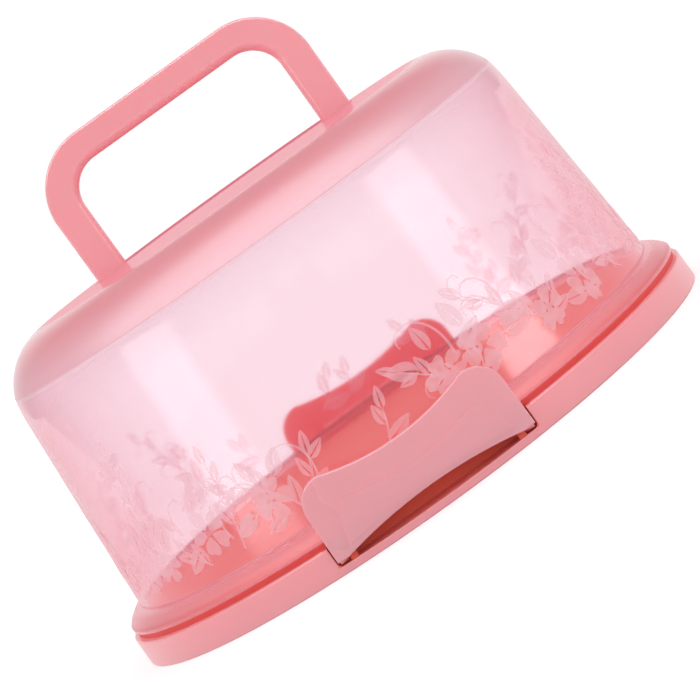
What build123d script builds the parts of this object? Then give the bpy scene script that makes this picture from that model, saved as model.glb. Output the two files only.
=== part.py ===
from build123d import *
import os
from math import cos, radians, sin, sqrt

# Round cake carrier: a shallow tray, a domed lid that lifts off, a handle that folds into a
# well in the lid, and two latches on the tray whose hooks hold the lid's flange down.
# Millimetres. Z is up, the tray stands on z = 0 around the origin, and -Y is the front.

# ---- tray ----
tray_foot_radius = 140.8      # outer edge on the table; every other radius follows from it
skirt_draft = 0.2             # how far the skirt leans in from its foot to its lip
skirt_height = 12.3
skirt_wall = 2.4
seat_inset = 2.5              # from the foot's edge in to the ring that the lid stands on
seat_rise = 2.7               # skirt's lip up to that ring
seat_width = 11.1             # ring's edge in to the raised deck
deck_rise = 3.4               # ring up to the deck that the cake stands on
deck_step_run = 1.2           # slope of the step between them
tray_wall = 2.4
tray_edge_round = 0.7
lip_bevel = 0.5

# ---- ribs under the deck ----
rib_count = 8
rib_thickness = 1.6
rib_depth = 6.0

# ---- latch notches in the skirt ----
notch_width = 93.8
notch_sill = 3.4              # top of the band left under each latch
notch_depth = 16.8            # from the foot's edge in to the pocket's rear wall
notch_corner = 2.0
pocket_wall = 2.0

# ---- lid ----
lid_wall = 2.0
lid_seat_gap = 0.2            # between the tray's seat and the flange
flange_inset = 1.7            # flange's edge in from the tray's foot
flange_width = 8.7            # flange's edge in to the foot of the wall
flange_rim = 1.4              # upright edge of the flange
flange_rise = 7.0             # flange bottom to the foot of the wall
flange_bulge = 0.95           # crowning of the flange's top
wall_taper = 6.8              # how far the wall leans in from its foot to its top
wall_top_height = 112.8
wall_bulge = 0.2              # soft curve of the band just under the crease
crease_inset = 1.6            # wall's top in to the crease
crease_height = 123.3
crease_tilt = 23.0            # degrees that the shoulder leans in above the crease
shoulder_radius = 29.5
crown_slope = 2.2             # degrees, where the shoulder meets the crowned top

# ---- handle ----
handle_width = 129.8
handle_top = 199.3            # height of the bar's top above the table
leg_width = 14.4
bar_height = 13.3
handle_depth = 8.4
handle_corner = 28.0
grip_corner = 14.7
grip_round = 3.9              # rounding of the edges that the hand holds
handle_edge = 1.2
handle_pin_radius = 1.8
handle_pin_length = 2.8
pin_clearance = 0.1

# ---- well in the lid's top that takes the folded handle ----
well_depth = 9.3              # from the crown's top to the well's floor
well_floor_gap = 0.4
well_side_gap = 1.0
well_front_gap = 2.0
well_end_gap = 1.5
well_front_corner = 3.0
lug_thickness = 3.0
lug_gap = 0.6
lug_radius = 3.4
boss_radius = 3.4
boss_length = 1.8

# ---- latches ----
latch_gap = 0.35              # between the flange's edge and the latch
latch_side_gap = 0.5          # between the notch's side and the latch
latch_wall = 2.35
latch_foot_height = 5.4
latch_waist_inset = 0.4       # how far the latch's sides lean in from foot to waist
latch_waist_height = 27.0
horn_height = 38.2
horn_inset = 12.9             # latch's side in to the top of a horn
horn_bulge = 3.5
horn_round = 4.0
latch_dip_height = 33.1       # lowest point of the latch's top edge
latch_corner_width = 5.0      # level corner beside the arch
latch_arch_height = 10.55     # highest point of the latch's lower edge
latch_edge = 0.6
panel_step = 0.5              # raised panel on the latch's face
panel_height = 26.9
panel_dip_height = 21.9
panel_top_inset = 13.4        # latch's side in to the panel's upper and lower corners
panel_foot_inset = 7.4
panel_foot_height = 9.0
panel_arch_height = 12.4      # highest point of the panel's lower edge
panel_round = 5.0
hook_reach = 2.6              # how far the hook stands in from the latch's inner face
hook_inset = 18.4             # latch's side in to the end of the hook
hook_gap = 0.45
hook_lip = 1.2
stiffener_inset = 16.4
stiffener_thickness = 1.4
stiffener_reach = 1.6
stiffener_foot = 22.0
stiffener_top = 33.5

# ---- latch hinges ----
hinge_inset = 9.4             # hinge axis in from the foot's edge
hinge_rise = 3.0              # notch's sill up to the hinge axis
toe_radius = 2.45
toe_gap = 0.2                 # between the latch's arch and its toes
toe_inset = 0.9               # toes end short of the latch's sides, clear of the notch's corners
latch_pin_radius = 1.1
latch_pin_length = 3.0
hinge_lug_radius = 2.0
hinge_lug_thickness = 3.2
hinge_lug_gap = 0.4
hinge_post_front = 1.0        # the lug's post, forward and back of the hinge axis
hinge_post_back = 2.6
lug_relief = 0.45

# ---- sizes that follow from those above ----
tray_lip_radius = tray_foot_radius - skirt_draft
seat_radius = tray_foot_radius - seat_inset
deck_radius = seat_radius - seat_width
seat_height = skirt_height + seat_rise
deck_height = seat_height + deck_rise
plate_under = seat_height - tray_wall
deck_under = deck_height - tray_wall
rib_ring_radius = deck_radius / 2
rib_end_radius = deck_radius - tray_wall

flange_radius = tray_foot_radius - flange_inset
wall_foot_radius = flange_radius - flange_width
wall_top_radius = wall_foot_radius - wall_taper
crease_radius = wall_top_radius - crease_inset
flange_bottom = seat_height + lid_seat_gap
flange_edge_top = flange_bottom + flange_rim
wall_foot_height = flange_bottom + flange_rise
shoulder_centre_r = crease_radius - shoulder_radius * cos(radians(crease_tilt))
shoulder_centre_z = crease_height - shoulder_radius * sin(radians(crease_tilt))
crown_start_r = shoulder_centre_r + shoulder_radius * sin(radians(crown_slope))
crown_start_z = shoulder_centre_z + shoulder_radius * cos(radians(crown_slope))
crown_radius = crown_start_r / sin(radians(crown_slope))
crown_centre_z = crown_start_z - crown_radius * cos(radians(crown_slope))
lid_top = crown_centre_z + crown_radius

well_floor = lid_top - well_depth
handle_axis_z = well_floor + well_floor_gap + handle_depth / 2
handle_reach = handle_top - handle_axis_z
grip_half_width = handle_width / 2 - leg_width
well_half_width = handle_width / 2 + well_side_gap

latch_half_width = notch_width / 2 - latch_side_gap
latch_arch_half = latch_half_width - latch_corner_width
latch_inner_radius = flange_radius + latch_gap
latch_outer_radius = latch_inner_radius + latch_wall
latch_hinge_y = -(tray_foot_radius - hinge_inset)
hinge_height = notch_sill + hinge_rise
notch_back_y = -(tray_foot_radius - notch_depth)
toe_start_x = latch_arch_half + toe_gap
hinge_lug_end_x = toe_start_x - hinge_lug_gap
hinge_lug_start_x = hinge_lug_end_x - hinge_lug_thickness

OVERRUN = 10.0                # how far cutting shapes run past what they cut
BITE = 0.3                    # how far joined shapes run into each other


def disc(radius, bottom, top):
    """Upright round block from one height to another."""
    return Pos(0, 0, (bottom + top) / 2) * Cylinder(radius, top - bottom)


def ring(inner_radius, outer_radius, bottom, top):
    """Upright tube."""
    return disc(outer_radius, bottom, top) - disc(inner_radius, bottom - BITE, top + BITE)


def block(low, high):
    """Box between two corners."""
    size = [high[i] - low[i] for i in range(3)]
    middle = [(high[i] + low[i]) / 2 for i in range(3)]
    return Pos(*middle) * Box(*size)


def rod(radius, start_x, end_x, y, z):
    """Round bar along X."""
    return Pos((start_x + end_x) / 2, y, z) * Rot(0, 90, 0) * Cylinder(radius, end_x - start_x)


def both_sides(shape):
    """A shape and its mirror image in the YZ plane."""
    return shape + mirror(shape, Plane.YZ)


def opposite(shape):
    """The same shape half a turn further round the tray."""
    return Rot(0, 0, 180) * shape


def turned(face):
    """Revolve a flat face, drawn as radius and height, about Z."""
    return revolve(Plane.XZ * face, Axis.Z)


def forward(face, reach):
    """Extrude a flat face, drawn as X and Z, from the middle towards the front."""
    return extrude(Plane.XZ * face, amount=reach)


def corners_at(face, places):
    """The corners of a flat face that lie at the given places."""
    return [
        vertex for vertex in face.vertices()
        if any(abs(vertex.X - u) + abs(vertex.Y - v) < 0.01 for u, v in places)
    ]


def rounded(face, places, radius):
    """Round the corners of a flat face that lie at the given places."""
    return fillet(corners_at(face, places), radius)


def bowed(start, end, rise):
    """Arc between two points, bulging to the right of its direction of travel."""
    run = Vector(*end) - Vector(*start)
    bulge = Vector(run.Y, -run.X).normalized() * rise
    return ThreePointArc(start, Vector(*start) + run * 0.5 + bulge, end)


# ---------------------------------------------------------------- tray

def tray_shell():
    """Shallow pan turned over: skirt, lip, seat ring and raised deck, open underneath."""
    deck_foot_radius = deck_radius + deck_step_run
    outline = Polyline(
        (0, deck_under),
        (deck_radius - tray_wall, deck_under),
        (deck_foot_radius - tray_wall, plate_under),
        (seat_radius - tray_wall, plate_under),
        (tray_foot_radius - skirt_wall, 0),
        (tray_foot_radius, 0),
        (tray_lip_radius, skirt_height),
        (seat_radius, skirt_height),
        (seat_radius, seat_height),
        (deck_foot_radius, seat_height),
        (deck_radius, deck_height),
        (0, deck_height),
        close=True,
    )
    soft_places = [(tray_foot_radius, 0), (seat_radius, seat_height), (deck_radius, deck_height)]
    section = rounded(make_face(outline), soft_places, tray_edge_round)
    section = chamfer(corners_at(section, [(tray_lip_radius, skirt_height)]), lip_bevel)
    return turned(section)


def underside_ribs():
    """Ring rib and radial ribs that stiffen the deck from below."""
    low = deck_under - rib_depth
    high = deck_under + BITE
    half = rib_thickness / 2
    ribs = ring(rib_ring_radius - half, rib_ring_radius + half, low, high)
    for index in range(rib_count):
        angle = (index + 0.5) * 360 / rib_count
        ribs += Rot(0, 0, angle) * block((0, -half, low), (rib_end_radius, half, high))
    return ribs


def notch_outline(margin):
    """Front view of a latch notch, open upwards, widened all round by a margin."""
    half = notch_width / 2 + margin
    sill = notch_sill - margin
    top = seat_height + OVERRUN
    face = make_face(Polyline((-half, sill), (half, sill), (half, top), (-half, top), close=True))
    return rounded(face, [(-half, sill), (half, sill)], notch_corner + margin)


def pocket_walls():
    """Walls that close the space behind a notch, up to the seat ring's plate."""
    slab = forward(notch_outline(pocket_wall), tray_lip_radius)
    slab -= block(
        (-notch_width, notch_back_y + pocket_wall, -OVERRUN),
        (notch_width, OVERRUN, seat_height + 2 * OVERRUN),
    )
    return slab & disc(tray_foot_radius - BITE, 0, plate_under + BITE)


def notch_cut():
    """What a notch takes out of the skirt; the seat ring above it stays."""
    slab = forward(notch_outline(0), tray_lip_radius + OVERRUN)
    slab -= block(
        (-notch_width, notch_back_y, -OVERRUN),
        (notch_width, OVERRUN, seat_height + 2 * OVERRUN),
    )
    return slab - disc(seat_radius, plate_under, seat_height + 2 * OVERRUN)


def hinge_lugs():
    """Two eyes in a notch that carry the latch's pins."""
    post = block(
        (hinge_lug_start_x, latch_hinge_y - hinge_post_front, notch_sill - BITE),
        (hinge_lug_end_x, latch_hinge_y + hinge_post_back, hinge_height),
    )
    eye = rod(hinge_lug_radius, hinge_lug_start_x, hinge_lug_end_x, latch_hinge_y, hinge_height)
    hole = rod(
        latch_pin_radius + pin_clearance,
        hinge_lug_start_x - BITE,
        hinge_lug_end_x + BITE,
        latch_hinge_y,
        hinge_height,
    )
    return both_sides(post + eye - hole)


def base_tray():
    body = tray_shell() + underside_ribs()
    for place in (lambda shape: shape, opposite):
        body += place(pocket_walls())
        body -= place(notch_cut())
        body += place(hinge_lugs())
    return body


# ---------------------------------------------------------------- lid

def lid_form(inset):
    """Everything under the lid's surface, with that surface moved inwards by inset."""
    def on_shoulder(angle):
        reach = shoulder_radius - inset
        return (
            shoulder_centre_r + reach * cos(radians(angle)),
            shoulder_centre_z + reach * sin(radians(angle)),
        )

    def on_crown(angle):
        reach = crown_radius - inset
        return reach * sin(radians(angle)), crown_centre_z + reach * cos(radians(angle))

    rim = (flange_radius - inset, flange_bottom)
    edge_top = (flange_radius - inset, max(flange_edge_top - inset, flange_bottom + BITE))
    foot = (wall_foot_radius - inset, wall_foot_height - inset * cos(radians(45)))
    wall_top = (wall_top_radius - inset, wall_top_height)
    crease = on_shoulder(crease_tilt)
    shoulder_end = on_shoulder(90 - crown_slope)
    crest = on_crown(0)
    outline = [
        Line((0, flange_bottom), rim),
        Line(rim, edge_top),
        bowed(edge_top, foot, flange_bulge),
        Line(foot, wall_top),
        bowed(wall_top, crease, wall_bulge),
        ThreePointArc(crease, on_shoulder(45 + (crease_tilt - crown_slope) / 2), shoulder_end),
        ThreePointArc(shoulder_end, on_crown(crown_slope / 2), crest),
        Line(crest, (0, flange_bottom)),
    ]
    return turned(make_face(outline))


def well_outline(margin):
    """Plan of the handle's well, widened all round by a margin."""
    half = well_half_width + margin
    front = -(handle_depth / 2 + well_front_gap + margin)
    back = handle_reach + well_end_gap + margin
    face = make_face(Polyline((-half, front), (half, front), (half, back), (-half, back), close=True))
    face = rounded(face, [(-half, front), (half, front)], well_front_corner + margin)
    return rounded(face, [(-half, back), (half, back)], handle_corner + margin)


def well_block(margin, bottom):
    """Upright block on the well's plan, from a height to above the lid."""
    return Pos(0, 0, bottom) * extrude(well_outline(margin), amount=lid_top + OVERRUN - bottom)


def handle_lugs():
    """Eyes inside each leg and bosses behind the well's side walls."""
    start_x = grip_half_width - lug_gap - lug_thickness
    end_x = grip_half_width - lug_gap
    post = block((start_x, -lug_radius, well_floor - BITE), (end_x, lug_radius, handle_axis_z))
    eye = rod(lug_radius, start_x, end_x, 0, handle_axis_z)
    boss_start = well_half_width + BITE
    boss_end = well_half_width + lid_wall + boss_length
    boss = rod(boss_radius, boss_start, boss_end, 0, handle_axis_z)
    return both_sides(post + eye + boss)


def handle_pin_holes():
    """Round holes for the handle's pins, through the eyes and blind in the side walls."""
    start_x = grip_half_width - lug_gap - lug_thickness - BITE
    end_x = handle_width / 2 + handle_pin_length + BITE
    return both_sides(rod(handle_pin_radius + pin_clearance, start_x, end_x, 0, handle_axis_z))


def lid_dome():
    outside = lid_form(0)
    shell = outside - lid_form(lid_wall)
    shell += well_block(lid_wall, well_floor - lid_wall) & outside
    shell -= well_block(0, well_floor)
    shell += handle_lugs() & outside
    return shell - handle_pin_holes()


# ---------------------------------------------------------------- handle

def arch_outline(half_width, top, corner):
    """Front view of a door shape that stands on the handle's axis."""
    face = make_face(
        Polyline(
            (-half_width, handle_axis_z),
            (half_width, handle_axis_z),
            (half_width, top),
            (-half_width, top),
            close=True,
        )
    )
    return rounded(face, [(-half_width, top), (half_width, top)], corner)


def handle_bow():
    """The U of the handle, with rounded edges where the hand holds it."""
    outer = arch_outline(handle_width / 2, handle_top, handle_corner)
    opening = arch_outline(grip_half_width, handle_top - bar_height, grip_corner)
    bow = extrude(Plane.XZ * (outer - opening), amount=handle_depth / 2, both=True)
    face_edges = [
        edge for edge in bow.edges()
        if abs(abs(edge.center().Y) - handle_depth / 2) < 0.01
        and edge.center().Z > handle_axis_z + BITE
    ]
    grip_edges = [
        edge for edge in face_edges
        if max(abs(edge.start_point().X), abs(edge.end_point().X)) < grip_half_width + 0.01
        and max(edge.start_point().Z, edge.end_point().Z) < handle_top - bar_height + 0.01
    ]
    outer_edges = [edge for edge in face_edges if edge not in grip_edges]
    bow = fillet(grip_edges, grip_round)
    outer_edges = [
        edge for edge in bow.edges()
        if any((edge.center() - other.center()).length < 0.01 for other in outer_edges)
    ]
    return fillet(outer_edges, handle_edge)


def handle():
    inner_x = grip_half_width
    outer_x = handle_width / 2
    foot = rod(handle_depth / 2, inner_x + handle_edge, outer_x - handle_edge, 0, handle_axis_z)
    pin_start = inner_x - handle_pin_length
    pin_end = outer_x + handle_pin_length
    pin = rod(handle_pin_radius, pin_start, pin_end, 0, handle_axis_z)
    return handle_bow() + both_sides(foot + pin)


# ---------------------------------------------------------------- latches

def latch_outline():
    """Front view of a latch: two horns, a dipped top edge and an arched lower edge."""
    arch_x = latch_arch_half
    foot_x = latch_half_width
    waist_x = latch_half_width - latch_waist_inset
    horn_x = latch_half_width - horn_inset
    face = make_face([
        ThreePointArc(
            (-arch_x, latch_foot_height), (0, latch_arch_height), (arch_x, latch_foot_height)
        ),
        Line((arch_x, latch_foot_height), (foot_x, latch_foot_height)),
        Line((foot_x, latch_foot_height), (waist_x, latch_waist_height)),
        bowed((waist_x, latch_waist_height), (horn_x, horn_height), horn_bulge),
        ThreePointArc((horn_x, horn_height), (0, latch_dip_height), (-horn_x, horn_height)),
        bowed((-horn_x, horn_height), (-waist_x, latch_waist_height), horn_bulge),
        Line((-waist_x, latch_waist_height), (-foot_x, latch_foot_height)),
        Line((-foot_x, latch_foot_height), (-arch_x, latch_foot_height)),
    ])
    return rounded(face, [(-horn_x, horn_height), (horn_x, horn_height)], horn_round)


def panel_outline():
    """Front view of the raised panel on the latch's face."""
    top_x = latch_half_width - panel_top_inset
    foot_x = latch_half_width - panel_foot_inset
    face = make_face([
        ThreePointArc(
            (-foot_x, panel_foot_height), (0, panel_arch_height), (foot_x, panel_foot_height)
        ),
        Line((foot_x, panel_foot_height), (top_x, panel_height)),
        ThreePointArc((top_x, panel_height), (0, panel_dip_height), (-top_x, panel_height)),
        Line((-top_x, panel_height), (-foot_x, panel_foot_height)),
    ])
    return rounded(face, [(-top_x, panel_height), (top_x, panel_height)], panel_round)


def latch_plate():
    """Curved plate that follows the flange's edge, with soft edges all round."""
    band = ring(latch_inner_radius, latch_outer_radius, 0, horn_height + OVERRUN)
    plate = forward(latch_outline(), latch_outer_radius + OVERRUN) & band
    outer_face = max(
        plate.faces().filter_by(GeomType.CYLINDER),
        key=lambda face: -face.center().Y if face.area > latch_half_width else 0,
    )
    return fillet(outer_face.edges(), latch_edge)


def flange_height(radius):
    """Height of the flange's top at a radius."""
    start = Vector(flange_radius, flange_edge_top)
    end = Vector(wall_foot_radius, wall_foot_height)
    chord = end - start
    half = chord.length / 2
    arc_radius = (half ** 2 + flange_bulge ** 2) / (2 * flange_bulge)
    outward = Vector(chord.Y, -chord.X).normalized()
    centre = start + chord * 0.5 - outward * (arc_radius - flange_bulge)
    return centre.Y + sqrt(arc_radius ** 2 - (radius - centre.X) ** 2)


def latch_hook():
    """Ridge on the latch's inner face that stands over the flange's sloping top."""
    root = latch_inner_radius + BITE
    tip = latch_inner_radius - hook_reach
    root_bottom = flange_height(flange_radius) + hook_gap
    tip_bottom = flange_height(tip) + hook_gap
    section = make_face(Polyline(
        (root, root_bottom),
        (tip, tip_bottom),
        (tip, tip_bottom + hook_lip),
        (root, tip_bottom + hook_lip + hook_reach),
        close=True,
    ))
    hook_half = latch_half_width - hook_inset
    span = block(
        (-hook_half, -latch_outer_radius - OVERRUN, 0),
        (hook_half, 0, horn_height),
    )
    return turned(section) & span


def latch_stiffeners():
    """Upright ribs on the latch's inner face."""
    band = ring(latch_inner_radius - stiffener_reach, latch_inner_radius + BITE, 0, horn_height)
    half = stiffener_thickness / 2
    middle = latch_half_width - stiffener_inset
    rib = block(
        (middle - half, -latch_outer_radius, stiffener_foot),
        (middle + half, 0, stiffener_top),
    )
    return both_sides(rib & band)


def latch_toes():
    """Round toes at the latch's lower corners, on the hinge axis."""
    toe_end_x = latch_half_width - toe_inset
    return both_sides(rod(toe_radius, toe_start_x, toe_end_x, latch_hinge_y, hinge_height))


def latch():
    face_band = ring(
        latch_outer_radius - BITE, latch_outer_radius + panel_step, 0, horn_height + OVERRUN
    )
    panel = forward(panel_outline(), latch_outer_radius + OVERRUN) & face_band
    body = latch_plate() + panel + latch_hook() + latch_stiffeners() + latch_toes()
    relief = rod(
        hinge_lug_radius + lug_relief,
        hinge_lug_start_x - hinge_lug_gap,
        toe_start_x,
        latch_hinge_y,
        hinge_height,
    )
    pin = rod(
        latch_pin_radius,
        toe_start_x - latch_pin_length,
        toe_start_x + BITE,
        latch_hinge_y,
        hinge_height,
    )
    return body - both_sides(relief) + both_sides(pin)


def main():
    front_latch = latch()
    pieces = {
        "base_tray": base_tray(),
        "lid_dome": lid_dome(),
        "handle": handle(),
        "front_latch": front_latch,
        "rear_latch": opposite(front_latch),
    }
    os.makedirs("parts", exist_ok=True)
    for name, shape in pieces.items():
        export_step(shape, f"parts/{name}.step")


main()
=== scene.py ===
"""Round cake carrier: finishes of the tray, latches, handle and clear lid, the floral print
round the lid's wall, and a plain pale studio."""

import math
import random

import bmesh
import bpy
from bpy.props import FloatProperty, FloatVectorProperty, IntProperty, PointerProperty
from mathutils import Matrix, Vector


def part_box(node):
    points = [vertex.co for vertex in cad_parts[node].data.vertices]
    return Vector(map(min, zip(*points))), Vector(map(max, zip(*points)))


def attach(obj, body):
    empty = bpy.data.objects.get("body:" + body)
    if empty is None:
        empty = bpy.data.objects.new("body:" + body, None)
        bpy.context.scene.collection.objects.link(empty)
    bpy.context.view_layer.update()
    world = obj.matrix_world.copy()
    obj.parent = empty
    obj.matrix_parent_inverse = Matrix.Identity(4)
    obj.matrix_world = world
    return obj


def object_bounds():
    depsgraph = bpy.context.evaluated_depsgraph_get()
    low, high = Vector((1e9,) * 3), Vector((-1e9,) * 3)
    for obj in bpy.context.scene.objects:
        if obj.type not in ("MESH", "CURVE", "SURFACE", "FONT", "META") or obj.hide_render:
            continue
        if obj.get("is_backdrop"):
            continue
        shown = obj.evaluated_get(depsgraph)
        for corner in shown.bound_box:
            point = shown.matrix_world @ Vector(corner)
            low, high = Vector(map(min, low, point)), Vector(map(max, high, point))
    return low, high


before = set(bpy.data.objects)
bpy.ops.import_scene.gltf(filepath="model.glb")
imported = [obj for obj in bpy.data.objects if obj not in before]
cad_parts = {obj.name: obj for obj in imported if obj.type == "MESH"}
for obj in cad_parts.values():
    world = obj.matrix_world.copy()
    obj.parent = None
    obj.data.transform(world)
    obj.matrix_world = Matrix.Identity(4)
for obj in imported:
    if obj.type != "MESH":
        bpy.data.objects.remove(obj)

bl_info = {
    "name": "Cake Carrier",
    "version": (1, 0, 0),
    "blender": (4, 5, 0),
    "location": "3D View > Sidebar > Cake Carrier",
    "description": "Finishes and prints a cake carrier with a clear lid, and lights it",
    "category": "Object",
}

MM = 0.001
START_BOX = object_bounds()

LID_LOW, LID_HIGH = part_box("lid_dome")
_, TRAY_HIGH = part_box("base_tray")

# Places on the lid, the tray and the latches: heights above the table and radii
WALL_FOOT = LID_LOW.z + 7.0 * MM        # height where the flange ends and the wall begins
WALL_RADIUS = LID_HIGH.x - 8.7 * MM     # radius of the wall's foot
WALL_TOP = LID_LOW.z + 97.6 * MM        # height where the wall stops being straight
WALL_TAPER = 6.8 * MM                   # how far the wall leans in from its foot to there
CREASE = LID_LOW.z + 108.1 * MM         # height where the wall ends and the shoulder begins
CROWN_EDGE = LID_HIGH.x - 43.1 * MM     # radius where the shoulder ends and the crown begins
CROWN_TOP = LID_LOW.z + 126.0 * MM      # height of the crown's edge
SEAT_EDGE = LID_HIGH.x - 0.8 * MM       # radius of the ring that the lid stands on
SEAT_TOP = TRAY_HIGH.z - 3.4 * MM       # height of that ring
SKIRT_TOP = TRAY_HIGH.z - 6.1 * MM      # height of the tray's skirt
NOTCH_SILL = 3.4 * MM                   # height of the band under each latch
NOTCH_HALF = 46.9 * MM                  # half of a notch's width
LATCH_MIDDLE = LID_HIGH.x + 0.9 * MM    # radius of the middle of the latches' walls
TOE_TOP = SKIRT_TOP - 4.5 * MM          # height under which the latches' toes begin

# Soft edges of the tray's and latches' painted-shade zones: where each starts and ends, from its
# place
DECK_EDGE = (0.6 * MM, -0.6 * MM)
DECK_BEGINS = (0.3 * MM, 1.0 * MM)
RING_FOOT = (0.0, 0.4 * MM)
RING_HEAD = (0.2 * MM, -0.2 * MM)
RING_INSIDE = (-1.5 * MM, -0.5 * MM)
NOTCH_SIDE = (0.4 * MM, 0.1 * MM)
NOTCH_HEAD = (0.0, -0.3 * MM)
NOTCH_FOOT = (-0.1 * MM, 0.1 * MM)
LATCH_FACE = (0.3 * MM, -0.3 * MM)
TOE_HEAD = (0.5 * MM, -0.5 * MM)

# Soft edges of the lid's zones
SATIN_BEGINS = (-3.0 * MM, -0.3 * MM)   # from the crease
MIST_BEGINS = (-22.0 * MM, -0.5 * MM)   # from the crease
# Edges of the painted highlight at the crease
CREASE_HIGHLIGHT_EDGE = (0.5 * MM, -0.9 * MM)     # from the crease
CREASE_HIGHLIGHT_ENDS = (8.0 * MM, 2.0 * MM)        # from the crease
CROWN_BEGINS = (7.0 * MM, -6.0 * MM)    # from the crown's edge
FLANGE_BEGINS = (1.0 * MM, -2.0 * MM)   # from the wall's foot
RIM_SHADE_BEGINS = (-1.6 * MM, -0.4 * MM)     # from the flange's outer edge

# Opaque plastic
PINK_IOR = 1.49
PINK_GLOW = 0.5                         # share of the light that spreads inside
PINK_SPREAD = (1.0, 0.22, 0.22)         # how far red, green and blue spread
FLOW_SCALE = 14.0                       # flow marks per metre
GRAIN_STRENGTH = 0.12
GRAIN_HEIGHT = 0.03 * MM
GLOSS_RANGE = 0.05                      # how much the flow marks vary the roughness
MATT_ROUGHNESS = (0.55, 0.70)
MATT_SPECULAR = 0.12
TONE_RANGE = 0.02                       # how much the flow marks vary the colour

# Lid's plastic
CLEAR_IOR = 1.42
RIPPLE_SCALE = 22.0
RIPPLE_STRENGTH = 0.25
RIPPLE_HEIGHT = 0.25 * MM
HAZE_SCALE = 60.0
HAZE_RANGE = (0.6, 1.4)                 # shares of the clear part's roughness
SATIN_ROUGHNESS = 0.25                  # what the satin adds to the clear part's roughness
CROWN_POLISH = 0.22                     # what the crown's gloss takes off again
CROWN_SHINE = 0.35                      # strength of that gloss
SATIN_COVER = (0.70, 0.90)              # share that the satin hides, at the crease and above
SATIN_COVER_RISE = (0.0, 0.5)           # shares of the shoulder's height between those two
SATIN_HIGH_RISE = (0.35, 0.85)          # and between the colours of its foot and its top
CROWN_COVER = 0.80                      # how much of that cover is left on the crown
FLANGE_COVER = 0.42                     # share that the flange's satin hides
MIST_COVER = 0.34                       # strength of the thin satin that runs down the wall
# Painted highlight: how much paler the satin is painted just above the crease
CREASE_HIGHLIGHT_SHARE = 0.25                       # how much paler the shoulder's foot is

# Ink
INK_OFF_WALL = 0.10 * MM
INK_LAYER = 0.012 * MM                  # from one layer to the next
INK_LAYERS = 14
INK_WEAR = 0.08                         # how much the ink's cover varies
WEAR_SCALE = 180.0

# Figures of the print, in millimetres and radians on the wall laid flat; pairs are ranges
PRINT_LOWEST = WALL_FOOT / MM + 1.3
PRINT_HIGHEST = CREASE / MM - 15.3
LEAF_STEPS = 9
LEAF_FULLEST = 0.8                      # under 1 moves a leaf's widest place rootwards
LEAF_ROUNDNESS = 0.85                   # under 1 makes its ends blunter
MIDRIB = 0.5                            # half of the midrib's width
MIDRIB_SHARE = 0.6                      # and the most of the leaf's half that it takes
PETAL_STEPS = 10
PETAL_EYE = 0.17                        # share of the radius left open in the middle
PETAL_SIDES = 0.58                      # share of the radius that a petal's sides reach
PETAL_DIP = 0.13                        # depth and width of the dip in its edge
PETAL_DIP_WIDTH = 0.25
PETAL_FOOT_SPREAD = 0.30
PETAL_SPREAD = 0.56
BLOSSOM_PETALS = 5
BLOSSOM_TURN = 1.2
BLOSSOM_SQUASH = (0.62, 1.0)
STEM_STEPS = 24
STEM_WIDTH = (1.0, 0.55)                # at its foot and at its tip
CURL_STEPS = 34
CURL_EASE = 1.6                         # how late a tendril tightens
CURL_SHORTENING = 0.55                  # how much its last steps are shorter than its first
POSY_HEIGHT = (33.0, 41.0)
POSY_RADIUS = (9.0, 13.0)
POSY_LEAF = (11.0, 17.0)
POSY_LEAF_WIDTH = (0.42, 0.58)          # share of the leaf's length
POSY_LEAF_ROOT = 0.95                   # share of the blossom's radius
POSY_LEAF_SWAY = 0.35
POSY_LEAF_CURL = 0.12
SPRIG_FOOT = (26.0, 31.0)
SPRIG_LENGTH = (9.0, 18.0)
SPRIG_LEAN = (0.5, 1.2)
SPRIG_LEAF = 12.0
SPRIG_LEAF_GAP = 0.55                   # share of a leaf's length between one and the next
SPRIG_LEAF_TURN = (0.55, 0.95)          # angle between a leaf and its stem
SPRIG_LEAF_SIZES = (0.85, 1.15)
SPRIG_LEAF_LARGEST = 1.1                # size at the stem's foot
SPRIG_LEAF_SHRINKAGE = 0.45             # how much smaller they are at its tip
SPRIG_LEAF_WIDTH = 0.46                 # share of the leaf's length
SPRIG_LEAF_CURL = 0.14
SPRIG_TIP_LEAF = (0.8, 0.36)            # length and width, as shares of a leaf's length
VINE_FOOT = (27.0, 33.0)
VINE_HEIGHT = (22.0, 34.0)
VINE_EXTRA = 40.0                       # how much taller the vines grow at both sides
VINE_EXTRA_SHARE = (0.5, 1.0)
VINE_LEAN = (0.2, 0.9)
VINE_LEAN_LESS = 0.4                    # how much less they lean there
VINE_LEAF = (10.0, 14.0)
VINE_BEND = 1.1
VINE_TENDRIL = (22.0, 36.0)
VINE_TENDRIL_START = 0.5                # angle between a tendril's foot and its stem
VINE_TENDRIL_TURN = (1.7, 2.4)
VINE_TENDRIL_TIGHTENING = 2.6
VINE_TENDRIL_WIDTH = (0.95, 0.5)        # at its foot and at its tip
VINE_BLOSSOM_CHANCE = 0.5
VINE_BLOSSOM = (4.5, 6.5)
VINE_BLOSSOM_ASIDE = (5.0, 8.0)
VINE_BLOSSOM_ABOVE = 2.0
TENDRIL_FOOT = (32.0, 48.0)
TENDRIL_LENGTH = (34.0, 52.0)
TENDRIL_LEAN = (0.2, 0.9)
TENDRIL_TURN = (1.8, 2.4)
TENDRIL_TIGHTENING = 2.8
TENDRIL_WIDTH = (1.2, 0.6)              # at its foot and at its tip
PLACE_SWAY = 0.35                       # how far a figure strays, as a share of the spacing
# Bare stretches in the middle of the front and of the back, for each kind of figure
POSY_GAPS = (0.20, 0.95)
VINE_GAPS = (0.14, 0.55)
SPRIG_GAPS = (0.0, 0.0)
TENDRIL_GAPS = (0.10, 0.60)

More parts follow.
